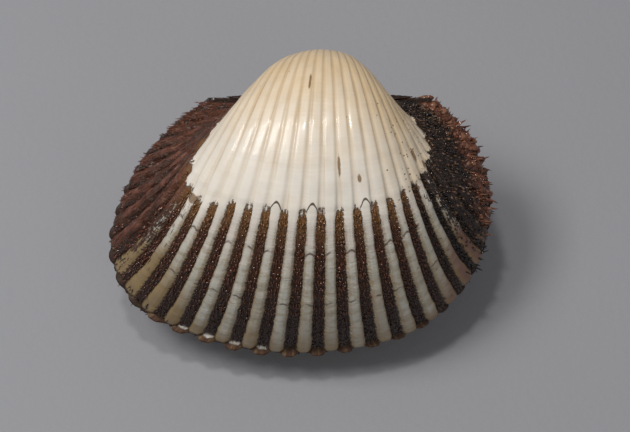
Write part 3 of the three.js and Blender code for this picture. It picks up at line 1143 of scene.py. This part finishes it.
def teeth_tree(material):
    """A row of small rounded teeth that lean outwards more towards both ends of the hinge."""
    inputs = {
        "Count": ("NodeSocketInt", 44),
        "Start": ("NodeSocketVector", (-14.0, -1.4, 0.1)),
        "End": ("NodeSocketVector", (14.0, -1.4, 0.1)),
        "Tooth": ("NodeSocketVector", (0.3, 1.2, 0.9)),
        "Bow": ("NodeSocketFloat", 0.9),
        "Lean": ("NodeSocketFloat", 0.9),
    }
    nodes, start, end, sockets = new_group("GeometryNodeTree", "hinge_teeth_row", inputs, GEOMETRY_OUT)
    row = nodes.put(
        "GeometryNodeMeshLine",
        {
            "Count": start.outputs["Count"],
            "Start Location": start.outputs["Start"],
            "Offset": start.outputs["End"],
        },
        mode="END_POINTS",
    )
    index = nodes.put("GeometryNodeInputIndex").outputs[0]
    last = nodes.minus(start.outputs["Count"], 1.0)
    share = nodes.minus(nodes.calc("DIVIDE", index, last), 0.5)
    from_middle = nodes.calc("ABSOLUTE", share)
    squared = nodes.times(share, share)
    down = nodes.times(squared, nodes.times(start.outputs["Bow"], -4.0))
    bowed = nodes.put(
        "GeometryNodeSetPosition",
        {"Geometry": row.outputs[0], "Offset": nodes.put("ShaderNodeCombineXYZ", {1: down}).outputs[0]},
    )
    box = nodes.put("GeometryNodeMeshCube", {"Size": start.outputs["Tooth"]})
    tooth = nodes.put("GeometryNodeSubdivisionSurface", {"Mesh": box.outputs[0], "Level": 1})
    lean = nodes.times(share, nodes.times(start.outputs["Lean"], -2.0))
    turn = nodes.put("ShaderNodeCombineXYZ", {2: lean}).outputs[0]
    larger = nodes.times_plus(from_middle, 1.1, 0.75)
    teeth = nodes.put(
        "GeometryNodeInstanceOnPoints",
        {
            "Points": bowed.outputs[0],
            "Instance": tooth.outputs[0],
            "Rotation": nodes.put("FunctionNodeEulerToRotation", {0: turn}).outputs[0],
            "Scale": nodes.put("ShaderNodeCombineXYZ", {0: 1.0, 1: larger, 2: 1.0}).outputs[0],
        },
    )
    end_with(nodes, teeth, material, end)
    return nodes.tree, sockets


def colour_setting(name, description, default):
    return bpy.props.FloatVectorProperty(
        name=name,
        description=description,
        default=(*default, 1.0),
        size=4,
        min=0,
        max=1,
        subtype="COLOR",
    )


def length_setting(name, description, default):
    return bpy.props.FloatProperty(
        name=name, description=description, default=default, min=0, subtype="DISTANCE", unit="LENGTH"
    )


class ShellColours(bpy.types.PropertyGroup):
    white: colour_setting("White", "Bare shell towards the belly", (0.84, 0.765, 0.66))
    cream: colour_setting("Cream", "Bare shell at the umbo", (0.76, 0.565, 0.345))
    tan: colour_setting("Tan", "The fine grooves of the bare shell", (0.50, 0.34, 0.17))
    rib_grey: colour_setting("Rib grey", "Ribs where the skin begins", (0.66, 0.59, 0.515))
    rib_green: colour_setting("Rib green", "Ribs nearer the edge", (0.52, 0.50, 0.425))
    edge_tan: colour_setting("Edge tan", "Rib ends", (0.27, 0.175, 0.07))
    stain: colour_setting("Stain", "Lines where growth halted, and specks", (0.07, 0.035, 0.018))
    mark: colour_setting("Marks", "Worn marks on the bare shell", (0.20, 0.105, 0.035))
    pearl: colour_setting("Pearl", "Inside of the valves", (0.80, 0.76, 0.72))
    scar: colour_setting("Scar", "Muscle scars inside the valves", (0.62, 0.54, 0.46))
    skin_amber: colour_setting("Skin amber", "Skin where it begins", (0.22, 0.10, 0.030))
    skin_brown: colour_setting("Skin brown", "Skin lower down", (0.066, 0.023, 0.009))
    skin_black: colour_setting("Skin black", "Oldest and wettest skin", (0.012, 0.0055, 0.003))
    skin_red: colour_setting("Skin red", "Skin at the two ends", (0.165, 0.052, 0.028))
    # Also used as a painted highlight along the skin's crests.
    skin_strand_and_sheen: colour_setting("Skin strand", "Pale strands on the skin", (0.36, 0.19, 0.105))


class ValveSettings(bpy.types.PropertyGroup):
    wall: length_setting("Wall", "Thickness of a valve, from halfway down a groove", 0.0017)
    groove_depth: length_setting("Groove depth", "Depth of the grooves at the edge", 0.0010)
    skin_thickness: length_setting("Skin", "Thickness of the brown skin", 0.00030)


class BristleSettings(bpy.types.PropertyGroup):
    scale_length: length_setting("Scales", "Length of the scales in the grooves", 0.00050)
    plate_length: length_setting("Plates", "Length of the plates of skin on the front end", 0.00095)
    strand_length: length_setting("Strands", "Length of the fine strands on the rear end", 0.0012)
    fringe_length: length_setting("Bristles", "Length of the bristles round the edge", 0.0014)
    seed: bpy.props.IntProperty(name="Seed", description="Which random scatter is used", default=7)


class StageSettings(bpy.types.PropertyGroup):
    floor: colour_setting("Floor", "The plain floor", (0.33, 0.325, 0.34))
    lens: bpy.props.FloatProperty(
        name="Lens", description="Focal length of the camera", default=120, min=1, unit="CAMERA"
    )
    distance: length_setting("Distance", "How far the camera is from the seam", 0.3)
    key_power: bpy.props.FloatProperty(
        name="Key light", description="Power of the main light", default=1.08, min=0, unit="POWER"
    )


def group_setting(name, description, group):
    return bpy.props.PointerProperty(name=name, description=description, type=group)


class ShellSettings(bpy.types.PropertyGroup):
    colours: group_setting("Colours", "Colours of the shell and its skin", ShellColours)
    valves: group_setting("Valves", "Sizes of the valves", ValveSettings)
    bristles: group_setting("Bristles", "The bristles of the skin", BristleSettings)
    stage: group_setting("Stage", "Camera, light and floor", StageSettings)


def settings_of(context):
    return context.scene.ark_clam


def grain_group():
    return bpy.data.node_groups.get("lime_grain") or lime_grain_group()


class OBJECT_OT_ark_valves(bpy.types.Operator):
    """Makes the two valves, with the skin on them"""

    bl_idname = "object.ark_valves"
    bl_label = "Valves"

    def execute(self, context):
        settings = settings_of(context)
        colours, grain = settings.colours, grain_group()
        materials = [
            outside_material(grain, colours),
            inside_material(grain, colours),
            band_material("hinge_area", colours, AREA_CHEVRONS),
        ]
        for name, side in SIDES.items():
            mesh = valve_mesh(name + "_valve_shell", side, settings.valves)
            piece = finished(mesh, name + "_valve_shell", materials)
            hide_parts(name + "_valve")
            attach(piece, name)
        return {"FINISHED"}


class OBJECT_OT_ark_teeth(bpy.types.Operator):
    """Makes the row of small teeth along the hinge of each valve"""

    bl_idname = "object.ark_teeth"
    bl_label = "Hinge teeth"

    def execute(self, context):
        tree, sockets = teeth_tree(teeth_material(settings_of(context).colours))
        for name, side in SIDES.items():
            offset = 0 if side > 0 else TEETH_PITCH / 2
            first, last = ((x + offset, *TEETH_ROW) for x in TEETH_ENDS)
            values = {"Start": first, "End": last}
            piece = made_by_nodes(bpy.data.meshes.new(name), tree, sockets, values, name + "_teeth")
            mirror = Matrix.Diagonal((1, 1, side, 1))
            piece.data.transform(SHELL_TO_ROW @ mirror)
            if side < 0:
                piece.data.flip_normals()
            piece.data.shade_smooth()
            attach(piece, name)
        return {"FINISHED"}


class OBJECT_OT_ark_bristles(bpy.types.Operator):
    """Stands rows of short scales in the grooves, plates on the front end and bristles round the edge"""

    bl_idname = "object.ark_bristles"
    bl_label = "Bristles"

    def execute(self, context):
        settings = settings_of(context)
        sizes = settings.bristles
        tree, sockets = bristle_tree(bristle_material(settings.colours))
        scale = horn_mesh("scale", sides=5, stations=3, width=0.38, flatness=0.18, curl=0.04, blunt=0.9)
        plate = horn_mesh("plate", sides=6, stations=3, width=0.5, flatness=0.45, curl=0.16, blunt=1.0)
        strand = horn_mesh("strand", sides=4, stations=3, width=0.075, flatness=0.6, curl=0.02, blunt=0.3)
        bristle = horn_mesh("bristle", sides=5, stations=4, width=0.12, flatness=0.7, curl=0.12, blunt=0.0)
        kinds = (
            ("scales", groove_spots, sizes.scale_length, 0.0, even_reach, scale, 0.75, 0.5),
            ("plates", flank_spots, sizes.plate_length, 0.0, even_reach, plate, 0.2, 0.16),
            ("strands", strand_spots, sizes.strand_length, 0.0, even_reach, strand, 0.0, 0.04),
            ("fringe", fringe_spots, sizes.fringe_length, 0.75, fringe_reach, bristle, 0.1, 0.3),
        )
        for number, side in enumerate(SIDES):
            valve = Valve(SIDES[side], settings.valves)
            seed = sizes.seed + number
            for kind, spots, length, splay, reach, shape, lift, spread in kinds:
                random = np.random.default_rng(seed)
                name = f"{side}_{kind}"
                points = bristle_points(name, valve, spots(random), length, random, splay, reach)
                pattern = bpy.data.objects.new(shape.name, shape)
                values = {"Bristle": pattern, "Lift": lift, "Spread": spread, "Seed": seed}
                piece = made_by_nodes(points, tree, sockets, values, name)
                bpy.data.objects.remove(pattern)
                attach(piece, side)
        return {"FINISHED"}


class OBJECT_OT_ark_ligament(bpy.types.Operator):
    """Makes the ligament over the flat area between the beaks"""

    bl_idname = "object.ark_ligament"
    bl_label = "Ligament"

    def execute(self, context):
        settings = settings_of(context)
        material = band_material("ligament_horn", settings.colours, LIGAMENT_CHEVRONS)
        rows, columns = 24, 160
        up = np.linspace(-1, 1, rows)[:, None]
        size = 1 - 0.5 * np.abs(up)
        line = at_stage(np.broadcast_to([0.0, 0.0, 0.15], (rows, 1, 3)), size)
        along = np.linspace(0, 1, columns)[None, :]
        front, rear = EDGE[0][0] * LIGAMENT_SHARE, EDGE[-1][0] * LIGAMENT_SHARE
        x = (rear + (front - rear) * along) * size
        z = np.sign(up) * line[..., 2]
        bare_y = line[..., 1] + 0.16
        taper = np.sqrt(np.clip(1 - (2 * along - 1) ** 8, 0, 1))
        taper = taper * np.sqrt(np.clip(1 - np.abs(up) ** 6, 0, 1))
        slant = np.abs(x - CHEVRON_MIDDLE) + CHEVRON_SLANT * np.abs(z)
        chevrons = np.abs((slant / LIGAMENT_CHEVRONS) % 1 - 0.5) * 2
        rise_of_band = np.clip(1 - np.abs(x / LIGAMENT_REACH) ** 3, 0, 1) * taper
        top = bare_y + 0.04 + rise_of_band * (0.32 + 0.1 * smooth(0.1, 0.6, chevrons))
        under = np.stack(np.broadcast_arrays(x, bare_y, z), axis=-1)
        over = np.stack(np.broadcast_arrays(x, top, z), axis=-1)
        loops = np.concatenate([under, over[:, ::-1]], axis=1)
        corner_rows, corner_columns = grid_faces(rows, 2 * columns)
        width = 2 * columns
        faces = (corner_rows * width + corner_columns % width).tolist()
        for row in (0, rows - 1):
            for k in range(columns - 1):
                a, b = row * width + k, row * width + k + 1
                c, d = row * width + width - 2 - k, row * width + width - 1 - k
                faces.append([a, b, c, d] if row == 0 else [d, c, b, a])
        mesh = bpy.data.meshes.new("ligament_band")
        mesh.from_pydata(to_row(loops.reshape(-1, 3)).tolist(), [], faces)
        piece = finished(mesh, "ligament_band", [material])
        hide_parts("ligament")
        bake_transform(piece)
        return {"FINISHED"}


class OBJECT_OT_ark_stage(bpy.types.Operator):
    """Sets the camera square to the seam, the floor and the soft lights"""

    bl_idname = "object.ark_stage"
    bl_label = "Stage"

    def execute(self, context):
        stage = settings_of(context).stage
        turn = Matrix.Rotation(TILT, 4, "X")
        target = SHELL_TO_ROW @ Vector((-1.0, -16.9, 0))
        facing = Matrix.Translation(target) @ turn
        camera = bpy.data.objects.new("camera", bpy.data.cameras.new("camera"))
        context.scene.collection.objects.link(camera)
        camera.data.lens = stage.lens
        camera.data.sensor_width = 36
        camera.data.clip_start = 0.01
        camera.matrix_world = facing @ Matrix.Translation((0, 0, stage.distance))
        context.scene.camera = camera
        context.scene.view_settings.view_transform = "Standard"

        bpy.ops.mesh.primitive_plane_add(size=4, location=(0, 0, -0.00003))
        floor = context.object
        floor.name = "floor"
        floor.data.materials.append(floor_material(tuple(stage.floor)))

        for name, place, size, share in LIGHTS:
            self.light(context, name, facing @ Vector(place), size, stage.key_power * share, target)
        world = bpy.data.worlds.new("studio")
        world.use_nodes = True
        background = world.node_tree.nodes["Background"]
        background.inputs["Color"].default_value = (0.93, 0.96, 1.0, 1)
        background.inputs["Strength"].default_value = 0.24
        context.scene.world = world
        return {"FINISHED"}

    def light(self, context, name, place, size, power, target):
        lamp = bpy.data.lights.new(name, "AREA")
        lamp.size = size
        lamp.energy = power
        holder = bpy.data.objects.new(name, lamp)
        context.scene.collection.objects.link(holder)
        holder.location = place
        holder.rotation_euler = (target - place).to_track_quat("-Z", "Y").to_euler()


class VIEW3D_PT_ark_clam(bpy.types.Panel):
    """Lists the pieces of the shell and their settings"""

    bl_label = "Ark clam shell"
    bl_idname = "VIEW3D_PT_ark_clam"
    bl_space_type = "VIEW_3D"
    bl_region_type = "UI"
    bl_category = "Ark clam"

    def draw(self, context):
        settings = settings_of(context)
        for group in (settings.valves, settings.bristles, settings.colours, settings.stage):
            box = self.layout.box()
            for name in group.bl_rna.properties.keys():
                if name not in ("rna_type", "name"):
                    box.prop(group, name)
        for operator in OPERATORS:
            self.layout.operator(operator.bl_idname)


OPERATORS = (
    OBJECT_OT_ark_stage,
    OBJECT_OT_ark_valves,
    OBJECT_OT_ark_teeth,
    OBJECT_OT_ark_bristles,
    OBJECT_OT_ark_ligament,
)
CLASSES = (
    ShellColours,
    ValveSettings,
    BristleSettings,
    StageSettings,
    ShellSettings,
    *OPERATORS,
    VIEW3D_PT_ark_clam,
)


def register():
    for item in CLASSES:
        bpy.utils.register_class(item)
    settings = group_setting("Ark clam shell", "Settings of the ark clam shell", ShellSettings)
    bpy.types.Scene.ark_clam = settings


def unregister():
    del bpy.types.Scene.ark_clam
    for item in reversed(CLASSES):
        bpy.utils.unregister_class(item)


def main():
    register()
    bpy.ops.object.ark_stage()
    bpy.ops.object.ark_valves()
    bpy.ops.object.ark_teeth()
    bpy.ops.object.ark_bristles()
    bpy.ops.object.ark_ligament()


if __name__ == "__main__":
    main()
